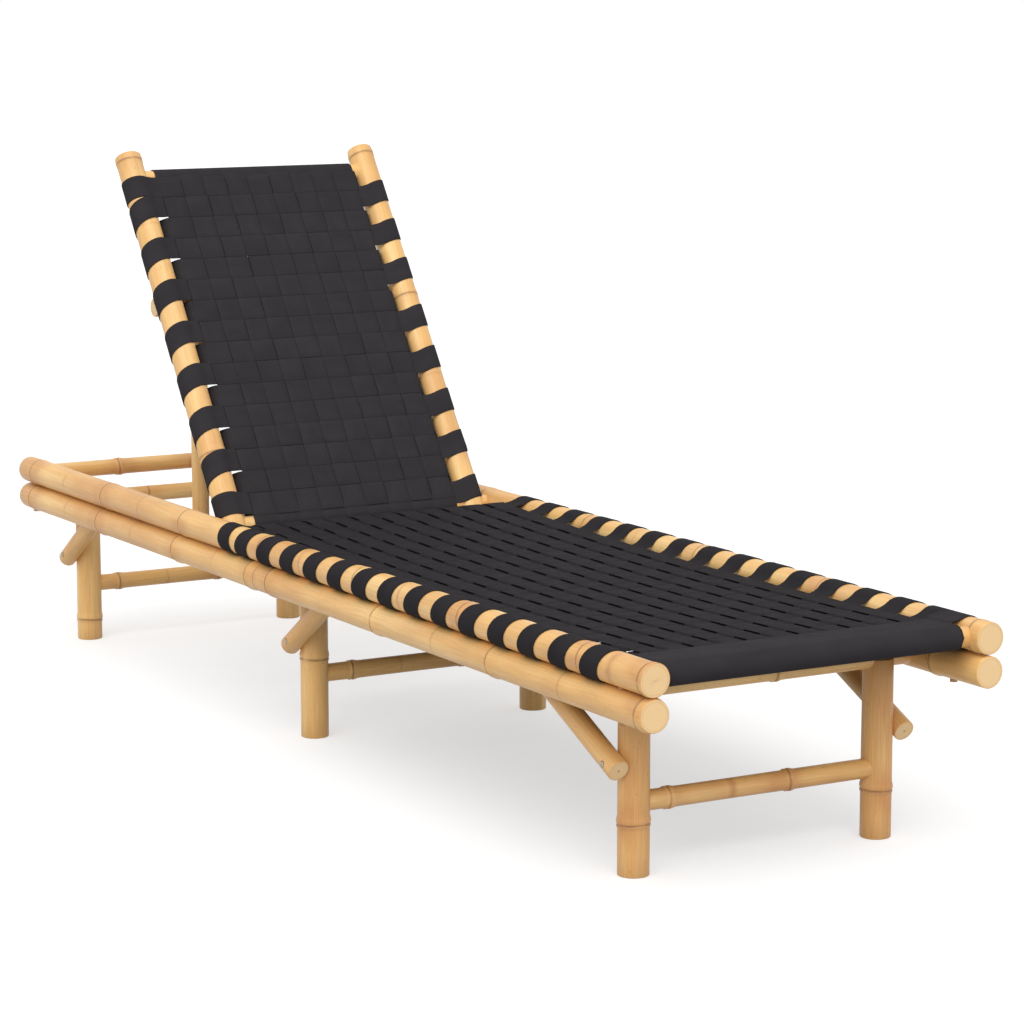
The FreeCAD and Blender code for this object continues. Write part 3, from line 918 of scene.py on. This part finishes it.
def cross_strap(weave, rails, rail_radius, ridge, bend, shade, lean, last_over=False):
    """Lays the long strap through all rows. lean shifts the end of a row along its rail."""
    strap = CrossStrap(weave, rails, rail_radius, ridge, bend, shade)
    start = weave.rows[0] + lean.get((0, -1), 0.0)
    outline, first, last = strap.outline(start)
    over = [(out, up, start, first <= k < last) for k, (out, up, _) in enumerate(outline[:last - 1])]
    strap.add_turn(-1, over[::-1], -1)
    for i, u in enumerate(weave.rows):
        going = 1 if i % 2 == 0 else -1
        strap.add_row(i, going, (lean.get((i, -1), 0.0), lean.get((i, 1), 0.0)))
        final = i == len(weave.rows) - 1
        next_u = u if final else weave.rows[i + 1]
        outline, first, last = strap.outline(u)
        over_first = going == 1 or (final and last_over)
        slip, next_slip = lean.get((i, going), 0.0), lean.get((i + 1, going), 0.0)
        places = []
        for k, (out, up, turned) in enumerate(outline):
            share = turned if over_first else 1 - turned
            change = eased((1 - turned) / LEAN_SHARE)
            lie = u + (next_u - u) * eased(share) + slip
            lie += (next_slip - slip) * (1 - change if over_first else change)
            places.append((out, up, lie, first <= k < last))
        if not over_first:
            places.reverse()
        strap.add_turn(going, places[:last - 1] if final else places, going)
    return strap


def clear_of(place, axis, along, radius):
    """Moves a place off a round pole where it would lie inside it."""
    away = place - axis
    away -= along * away.dot(along)
    return place if away.length >= radius else place + away.normalized() * (radius - away.length)


# The band: its width and start round the bar and on the far rail, its height in thicknesses over the weave,
# how far it stays from the near rail and ends before the far one, and where it turns flat before that one
BAND_WIDTH, BAND_START = 0.104, 0.9075
BAND_RAIL_WIDTH, BAND_RAIL_START = 0.053, 0.903
BAND_LIFT = 1.1
BAND_NEAR_ROOM, BAND_FAR_ROOM = 0.0006, 0.006
BAND_FLAT_FROM, BAND_FLAT_OVER = 0.015, 0.009
BAND_STEPS = 24


def front_band(weave, rail_y, rail_radius):
    """The broad band round the foot-end bar, which ends at the near rail and goes over the far one."""
    field, thickness = weave.field, weave.field.thickness
    strap = Strap(thickness)
    lift = BAND_LIFT * thickness
    shares = [step / BAND_STEPS for step in range(BAND_STEPS + 1)]
    offsets = [BAND_WIDTH * (share - 0.5) for share in shares]
    bar_axis, rail_axis = field.spot(field.high, 0, 0), field.spot(0, rail_y, 0)
    radius = rail_radius + STRAP_GAP + thickness / 2
    far = weave.row_end - BAND_FAR_ROOM

    def add(place_y, height, onto_rail, rail_face):
        """One section, which changes from the curve of the bar to a flat one on the far rail."""
        lines = []
        for share in shares:
            place, face = field.line(BAND_START + BAND_WIDTH * share, 0, lift)
            place.y = place_y(place.z - field.origin.z)
            flat = field.spot(BAND_RAIL_START + BAND_RAIL_WIDTH * share, place.y, height)
            place = clear_of(place.lerp(flat, onto_rail), bar_axis, Y_AXIS, field.middle + lift)
            place = clear_of(place, rail_axis, field.along, radius)
            lines.append((place, face.lerp(rail_face, onto_rail).normalized()))
        strap.add(lines, offsets)

    for share in shares:
        def place_y(up, share=share):
            near = -rail_y + math.sqrt(max(0.0, rail_radius ** 2 - up * up)) + BAND_NEAR_ROOM
            return near + (far - near) * share
        add(place_y, 0.0, 0.0, field.up)
    outline, first, last = turn_outline(far - rail_y, field.middle + lift, radius, BAND_LEAD_STEPS)
    for k, (out, up, _) in enumerate(outline[:last]):
        before, after = outline[max(0, k - 1)], outline[min(last - 1, k + 1)]
        face = (field.up * (after[0] - before[0]) - Y_AXIS * (after[1] - before[1])).normalized()
        onto_rail = 1.0 if k >= first else eased((out + radius + BAND_FLAT_FROM) / BAND_FLAT_OVER)
        add(lambda _, y=rail_y + out: y, up, onto_rail, face)
    return strap


def lay_straps(name, straps, width, cloth, body, rests_on, *replaced):
    """Makes a group of straps one stretched sheet that rides on its body."""
    made = strap_object(name, straps, cloth)
    if replaced:
        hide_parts(*replaced)
    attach(made, body)


def lay_field(part, weave, cloth, body, bars, rails, rail_radius, bend, shade, lean, last_over=False):
    """Makes a field's lengthwise straps and its cross strap."""
    long_straps = [lengthwise_strap(weave, column) for column in range(len(weave.columns))]
    lay_straps(part + "_long_straps", long_straps, weave.width, cloth, body, bars,
               part + "_webbing", part + "_rail_wraps")
    ridge = sizes()[0].wrapped_ridge_height
    cross = cross_strap(weave, rails, rail_radius, ridge, bend, shade, lean, last_over)
    lay_straps(part + "_cross_strap", [cross], weave.row_width, cloth, body, rails)


# Steps, one for each group of pieces

RAIL_RINGS = {
    "right_upper_rail": (-0.950, -0.647, -0.342, -0.062, 0.242, 0.545, 0.850, 0.9925),
    "left_upper_rail": (-0.900, -0.600, -0.300, 0.020, 0.330, 0.640, 0.978),
    "right_lower_rail": (-0.957, -0.670, -0.370, -0.107, -0.036, 0.297, 0.622, 0.986),
    "left_lower_rail": (-0.930, -0.630, -0.330, -0.030, 0.280, 0.590, 0.897),
    "right_back_rail": (0.120, 0.400, 0.655),
    "left_back_rail": (0.100, 0.380, 0.652),
}
RAIL_TINTS = {"right_upper_rail": 0.75, "right_lower_rail": 0.60,
              "left_upper_rail": 0.55, "left_lower_rail": 0.50}
LEG_RINGS = {"right_foot": 0.068, "left_foot": 0.066, "right_mid": 0.121,
             "left_mid": 0.090, "right_head": 0.034, "left_head": 0.150}
# Painted shade: the two foot legs get a high tint, which darkens them all over in place of the shade under
# the frame
SHADED_LEG_TINTS = {"right_foot": 0.92, "left_foot": 0.96}
LEG_TINT = 0.35
STRETCHERS = {"foot_stretcher": (0.88, -0.142, 0.044), "mid_stretcher": (0.7, -0.130, 0.060),
              "head_stretcher": (0.7, -0.138, 0.050)}
CROSS_BARS = {"head_bar": (-0.116, 0.120), "seat_rear_bar": (-0.060, 0.190),
              "seat_front_bar": (-0.170, 0.080), "foot_lower_bar": (0.020,),
              "mid_lower_bar": (0.050,), "head_lower_bar": (-0.080,)}
TOUCHED_BARS = ("seat_rear_bar", "seat_front_bar", "head_lower_bar")
CROSS_BAR_TINT = 0.6
BACK_BARS = {"back_top_bar": (-0.050,), "back_hinge_bar": (0.100,)}
BACK_RAIL_TINT, BACK_BAR_TINT = 0.4, 0.5
PROP_BAR_TINT, POST_TINT = 0.4, 0.5
PIVOT_BAR_RING, TOP_BAR_RING, POST_RING = -0.090, 0.030, 0.420

# Each pair of braces: which way it leans along the bed, its slope in degrees and its tint
BRACES = {"foot": (-1, 25, 0.90), "mid": (1, 34, 0.5), "head": (1, 34, 0.5)}
BRACE_PITH = 0.85


class LOUNGER_OT_rails(bpy.types.Operator):
    """Makes the four long rails and gives the dowels their wood"""
    bl_idname = "lounger.rails"
    bl_label = "Long rails"

    def execute(self, context):
        bamboo = sizes()[0]
        for node, tint in RAIL_TINTS.items():
            ridge = bamboo.wrapped_ridge_height if "upper" in node else bamboo.ridge_height
            straight_culm(node, 0, bamboo.rail_radius, RAIL_RINGS[node], "base", bamboo, tint, ridge)
        dowels = frame["nodes"]["rail_dowels"].data.materials
        dowels.clear()
        dowels.append(dowel_material())
        return {"FINISHED"}


class LOUNGER_OT_legs(bpy.types.Operator):
    """Makes the six legs and the stretchers between them"""
    bl_idname = "lounger.legs"
    bl_label = "Legs and stretchers"

    def execute(self, context):
        bamboo = sizes()[0]
        for leg, ring in LEG_RINGS.items():
            tint = SHADED_LEG_TINTS.get(leg, LEG_TINT)
            straight_culm(leg + "_leg", 2, bamboo.leg_radius, (ring,), "base", bamboo, tint)
        for node, (tint, *rings) in STRETCHERS.items():
            straight_culm(node, 1, bamboo.bar_radius, rings, "base", bamboo, tint, bamboo.bar_ridge_height)
        return {"FINISHED"}


class LOUNGER_OT_cross_bars(bpy.types.Operator):
    """Makes the poles across the frame, under the rails and between them"""
    bl_idname = "lounger.cross_bars"
    bl_label = "Cross bars"

    def execute(self, context):
        bamboo = sizes()[0]
        for node, rings in CROSS_BARS.items():
            ridge = bamboo.hidden_ridge_height if node in TOUCHED_BARS else bamboo.bar_ridge_height
            straight_culm(node, 1, bamboo.bar_radius, rings, "base", bamboo, CROSS_BAR_TINT, ridge)
        return {"FINISHED"}


class LOUNGER_OT_braces(bpy.types.Operator):
    """Makes the six slanted braces outside the legs"""
    bl_idname = "lounger.braces"
    bl_label = "Braces"
    cross_height: length("Crossing height", 0.150, "Height where a brace crosses its leg")
    tail: length("Tail", 0.018, "Length of a brace below its crossing")

    def execute(self, context):
        bamboo = sizes()[0]
        rise = middle("right_lower_rail", 2) - self.cross_height
        for leg, (toward, angle, tint) in BRACES.items():
            slope = math.radians(angle)
            direction = Vector((toward * math.cos(slope), 0, math.sin(slope)))
            for side in ("right_", "left_"):
                node = side + leg + "_brace"
                cross = Vector((middle(side + leg + "_leg", 0), middle(node, 1), self.cross_height))
                start, end = cross - direction * self.tail, cross + direction * (rise / direction.z)
                made = culm(node + "_culm", start, end, bamboo.brace_radius, [], bamboo, tint, BRACE_PITH)
                stand_in(made, "base", node)
        return {"FINISHED"}


def back_directions():
    """Directions up the backrest and out of its front, at rest."""
    along = middle_point("back_top_bar") - HINGE
    along.y = 0
    along.normalize()
    return along, Vector((along.z, 0, -along.x))


class LOUNGER_OT_backrest(bpy.types.Operator):
    """Makes the backrest's two rails and two bars"""
    bl_idname = "lounger.backrest"
    bl_label = "Backrest frame"

    def execute(self, context):
        bamboo = sizes()[0]
        along, _ = back_directions()
        for node in ("right_back_rail", "left_back_rail"):
            low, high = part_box(node)
            axis = Vector((HINGE.x, middle(node, 1), HINGE.z))
            end_drop = bamboo.leg_radius * abs(along.x)
            reach = (high.z - end_drop - HINGE.z) / along.z
            tail = (HINGE.z - low.z - end_drop) / along.z
            rings = [ring + tail for ring in RAIL_RINGS[node]]
            made = culm(node + "_culm", axis - along * tail, axis + along * reach, bamboo.leg_radius, rings,
                        bamboo, BACK_RAIL_TINT, ridge=bamboo.wrapped_ridge_height)
            stand_in(made, "back", node)
        for node, rings in BACK_BARS.items():
            straight_culm(node, 1, bamboo.bar_radius, rings, "back", bamboo, BACK_BAR_TINT,
                          bamboo.hidden_ridge_height)
        return {"FINISHED"}


class LOUNGER_OT_prop(bpy.types.Operator):
    """Makes the folding prop behind the backrest"""
    bl_idname = "lounger.prop"
    bl_label = "Prop"

    def execute(self, context):
        bamboo = sizes()[0]
        straight_culm("prop_pivot_bar", 1, bamboo.bar_radius, (PIVOT_BAR_RING,), "prop", bamboo,
                      PROP_BAR_TINT)
        straight_culm("prop_top_bar", 1, bamboo.prop_bar_radius, (TOP_BAR_RING,), "prop", bamboo,
                      PROP_BAR_TINT, bamboo.hidden_ridge_height)
        for node in ("right_prop_post", "left_prop_post"):
            straight_culm(node, 2, bamboo.post_radius, (POST_RING,), "prop", bamboo, POST_TINT)
        return {"FINISHED"}


# How far a field's straps stray, bow across their width on top of others, and darken at their sides by
# painted shade
SEAT_STRAY, SEAT_BEND, SEAT_SHADE = 0.0003, 0.0002, 0.0
BACK_STRAY, BACK_BEND, BACK_SHADE = 0.0006, 0.0004, 0.5

SEAT_COLUMNS, SEAT_ROWS = 11, 29
SEAT_RAILS = ("right_upper_rail", "left_upper_rail")
# Painted shade: the bed's straps are the same webbing as the back's, made darker all over by this tone
BED_SHADE_TONE = 0.78

# How far the end of a row is shifted along the near rail (-1) or the far one (1)
SEAT_LEAN = {(row, -1): 0.005 * row / (SEAT_ROWS - 1) for row in range(0, SEAT_ROWS, 2)}


class LOUNGER_OT_seat_webbing(bpy.types.Operator):
    """Weaves the bed and lays the broad band over its foot end"""
    bl_idname = "lounger.seat_webbing"
    bl_label = "Seat webbing"

    def execute(self, context):
        bamboo, straps, _ = sizes()
        rear, front = middle_point("seat_rear_bar"), middle_point("seat_front_bar")
        field = Field(Vector((0, 0, rear.z)), X_AXIS, Z_AXIS, rear.x, front.x, straps.sag, bamboo.bar_radius,
                      straps.thickness)
        weave = Weave(field, straps, SEAT_COLUMNS, straps.seat_pitch, straps.seat_width,
                      rear.x + bamboo.bar_radius, SEAT_ROWS, straps.seat_wave, SEAT_STRAY)
        lay_field("seat", weave, webbing_material(straps, "Shaded bed webbing", BED_SHADE_TONE), "base",
                  ["seat_front_bar", "seat_rear_bar"], SEAT_RAILS, bamboo.rail_radius,
                  SEAT_BEND, SEAT_SHADE, SEAT_LEAN)
        band = front_band(weave, middle(SEAT_RAILS[1], 1), bamboo.rail_radius)
        lay_straps("seat_front_band", [band], BAND_WIDTH, webbing_material(straps), "base",
                   ["seat_front_bar", "left_upper_rail"])
        return {"FINISHED"}


BACK_COLUMNS, BACK_ROWS = 9, 16
BACK_FIRST_ROW = 0.027
BACK_SAG = 0.0006
BACK_LEAN = {(0, 1): -0.010, (2, 1): -0.005, (4, 1): -0.005, (6, 1): -0.002, (8, 1): -0.001,
             (10, 1): 0.012, (12, 1): 0.010, (14, 1): 0.008}
BACK_LEAN.update({(row, -1): 0.003 for row in range(0, BACK_ROWS, 2)})


class LOUNGER_OT_back_webbing(bpy.types.Operator):
    """Weaves the backrest"""
    bl_idname = "lounger.back_webbing"
    bl_label = "Back webbing"

    def execute(self, context):
        bamboo, straps, _ = sizes()
        along, out = back_directions()
        reach = (middle_point("back_top_bar") - HINGE).dot(along)
        field = Field(Vector((HINGE.x, 0, HINGE.z)), along, out, 0.0, reach, BACK_SAG, bamboo.bar_radius,
                      straps.thickness)
        weave = Weave(field, straps, BACK_COLUMNS, straps.back_pitch, straps.back_width, BACK_FIRST_ROW,
                      BACK_ROWS, straps.back_wave, BACK_STRAY)
        lay_field("back", weave, webbing_material(straps), "back", ["back_top_bar", "back_hinge_bar"],
                  ["right_back_rail", "left_back_rail"], bamboo.leg_radius,
                  BACK_BEND, BACK_SHADE, BACK_LEAN, True)
        return {"FINISHED"}


# A screw head's profile as (radius, height), and the depth, reach and middle of its recess, in millimetres
SCREW_PROFILE = ((0.9, 1.30), (2.2, 1.25), (2.6, 1.24), (4.0, 0.95), (4.7, 0.30), (4.8, -1.5))
RECESS_DEPTH, RECESS_REACH, RECESS_MIDDLE = 0.8, 2.5, 1.0
SCREW_SIDES = 24
SCREW_GAP = 0.0002


def screw_head(name):
    """A round screw head with a cross recess, facing +Z."""
    mesh = bpy.data.meshes.new(name)
    sides, arm = SCREW_SIDES, SCREW_SIDES // 4
    points, faces = [(0, 0, (SCREW_PROFILE[0][1] - RECESS_DEPTH) / 1000)], []
    for radius, height in SCREW_PROFILE:
        for side in range(sides):
            turn = 2 * math.pi * side / sides
            recess = radius < RECESS_REACH and (side % arm in (0, 1, arm - 1) or radius < RECESS_MIDDLE)
            points.append((radius * math.cos(turn) / 1000, radius * math.sin(turn) / 1000,
                           (height - (RECESS_DEPTH if recess else 0.0)) / 1000))
    faces += [(0, 1 + side, 1 + (side + 1) % sides) for side in range(sides)]
    for ring in range(len(SCREW_PROFILE) - 1):
        low = 1 + ring * sides
        for side in range(sides):
            after = (side + 1) % sides
            faces.append((low + side, low + sides + side, low + sides + after, low + after))
    base = 1 + (len(SCREW_PROFILE) - 1) * sides
    faces.append(tuple(base + side for side in reversed(range(sides))))
    mesh.from_pydata(points, [], faces)
    return bpy.data.objects.new(name, mesh)


def screw_tree():
    """Sets a screw head on each point, facing along the point's outward mark."""
    tree, wire, inside = geometry_tree("Screws", [("Head", "Object", None), ("Material", "Material", None)])
    head = wire.add("GeometryNodeObjectInfo", {"Object": inside["Head"]}).outputs["Geometry"]
    outward = wire.mark("outward", "FLOAT_VECTOR")
    turn = wire.add("FunctionNodeAlignRotationToVector", {"Vector": outward}, axis="Z").outputs["Rotation"]
    spread = wire.add("GeometryNodeInstanceOnPoints", {
        "Points": inside["Geometry"], "Instance": head, "Rotation": turn})
    end_tree(wire, spread.outputs["Instances"], inside["Material"])
    return tree


class LOUNGER_OT_fasteners(bpy.types.Operator):
    """Sets a screw through the lower end of each brace into its leg"""
    bl_idname = "lounger.fasteners"
    bl_label = "Fasteners"
    height: length("Screw height", 0.150, "Height of the screws over the floor")

    def execute(self, context):
        places, outward = [], []
        for side, away in (("right_", -1), ("left_", 1)):
            for leg in ("foot", "mid", "head"):
                side_y = middle(side + leg + "_brace", 1) + away * (sizes()[0].brace_radius + SCREW_GAP)
                places.append((middle(side + leg + "_leg", 0), side_y, self.height))
                outward += [0, away, 0]
        source = bpy.data.meshes.new("screw_places")
        source.from_pydata(places, [], [])
        write_marks(source, "outward", outward)
        head = screw_head("screw_head")
        made = baked("brace_screws", source, screw_tree(), {"Head": head, "Material": steel_material()})
        bpy.data.objects.remove(head)
        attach(made, "base")
        return {"FINISHED"}


# Floor, light and camera

KEY_TILT, KEY_TURN, KEY_SPREAD = math.radians(42), math.radians(55), math.radians(60)
KEY_PLACE = (2.0, -1.5, 4.0)
SENSOR_WIDTH = 36
NEAREST_SEEN, FARTHEST_SEEN = 0.1, 200
FLOOR_SIZE = 60
FLOOR_GLOW = 0.55


def white_world(level):
    """Even light, seen as plain white by the camera and in reflections."""
    world = bpy.data.worlds.new("White room")
    bpy.context.scene.world = world
    world.use_nodes = True
    wire = Wiring(world.node_tree)
    wire.feed(world.node_tree.nodes["Background"], {
        "Color": (1, 1, 1, 1), "Strength": wire.grow(wire.seen_directly(), 1.0 - level, level)})


def floor_material():
    """A floor that the camera and reflections see as white, with a light shadow under the lounger."""
    material, wire, shader = new_material("White floor")
    wire.feed(shader, {
        "Base Color": (0.5, 0.5, 0.5, 1), "Roughness": 1.0, "Specular IOR Level": 0.0,
        "Emission Color": (1, 1, 1, 1), "Emission Strength": wire.times(wire.seen_directly(), FLOOR_GLOW)})
    return material


class LOUNGER_OT_stage(bpy.types.Operator):
    """Sets up the white floor, the light and the camera"""
    bl_idname = "lounger.stage"
    bl_label = "Stage"

    def execute(self, context):
        stage = sizes()[2]
        bpy.ops.mesh.primitive_plane_add(size=FLOOR_SIZE)
        floor = context.active_object
        floor.name = "floor"
        floor.data.materials.append(floor_material())
        white_world(stage.world_level)
        lamp = bpy.data.lights.new("soft_key", "SUN")
        lamp.angle = KEY_SPREAD
        lamp.energy = stage.key_level * math.pi / math.cos(KEY_TILT)
        key = placed("soft_key", lamp)
        key.location = KEY_PLACE
        key.rotation_euler = (KEY_TILT, 0, KEY_TURN)
        lens = bpy.data.cameras.new("camera")
        lens.sensor_width = SENSOR_WIDTH
        lens.lens = stage.lens
        lens.clip_start, lens.clip_end = NEAREST_SEEN, FARTHEST_SEEN
        camera = placed("camera", lens)
        camera.location = stage.camera_place
        camera.rotation_euler = (math.radians(90) - stage.camera_tilt, 0, stage.camera_turn)
        context.scene.camera = camera
        context.scene.view_settings.view_transform = "Standard"
        return {"FINISHED"}


class LOUNGER_PT_panel(bpy.types.Panel):
    """Lists the lounger's steps in the 3D view's sidebar"""
    bl_idname = "LOUNGER_PT_panel"
    bl_label = "Lounger"
    bl_space_type = "VIEW_3D"
    bl_region_type = "UI"
    bl_category = "Lounger"

    def draw(self, context):
        for step in STEPS:
            self.layout.operator(step.bl_idname)
        for group in GROUPS:
            settings = getattr(context.scene, group)
            for name in settings.__annotations__:
                self.layout.prop(settings, name)


STEPS = (LOUNGER_OT_rails, LOUNGER_OT_legs, LOUNGER_OT_cross_bars, LOUNGER_OT_braces, LOUNGER_OT_backrest,
         LOUNGER_OT_prop, LOUNGER_OT_seat_webbing, LOUNGER_OT_back_webbing, LOUNGER_OT_fasteners,
         LOUNGER_OT_stage)
CLASSES = (BambooSettings, StrapSettings, StageSettings) + STEPS + (LOUNGER_PT_panel,)


def register():
    """Registers the settings, the steps and the panel."""
    for kind in CLASSES:
        bpy.utils.register_class(kind)
    for name, kind in GROUPS.items():
        setattr(bpy.types.Scene, name, PointerProperty(type=kind))


def unregister():
    """Takes them out again."""
    for name in GROUPS:
        delattr(bpy.types.Scene, name)
    for kind in reversed(CLASSES):
        bpy.utils.unregister_class(kind)


def main():
    """Runs each step in turn."""
    register()
    bpy.ops.lounger.rails()
    bpy.ops.lounger.legs()
    bpy.ops.lounger.cross_bars()
    bpy.ops.lounger.braces()
    bpy.ops.lounger.backrest()
    bpy.ops.lounger.prop()
    bpy.ops.lounger.seat_webbing()
    bpy.ops.lounger.back_webbing()
    bpy.ops.lounger.fasteners()
    bpy.ops.lounger.stage()


if __name__ == "__main__":
    main()
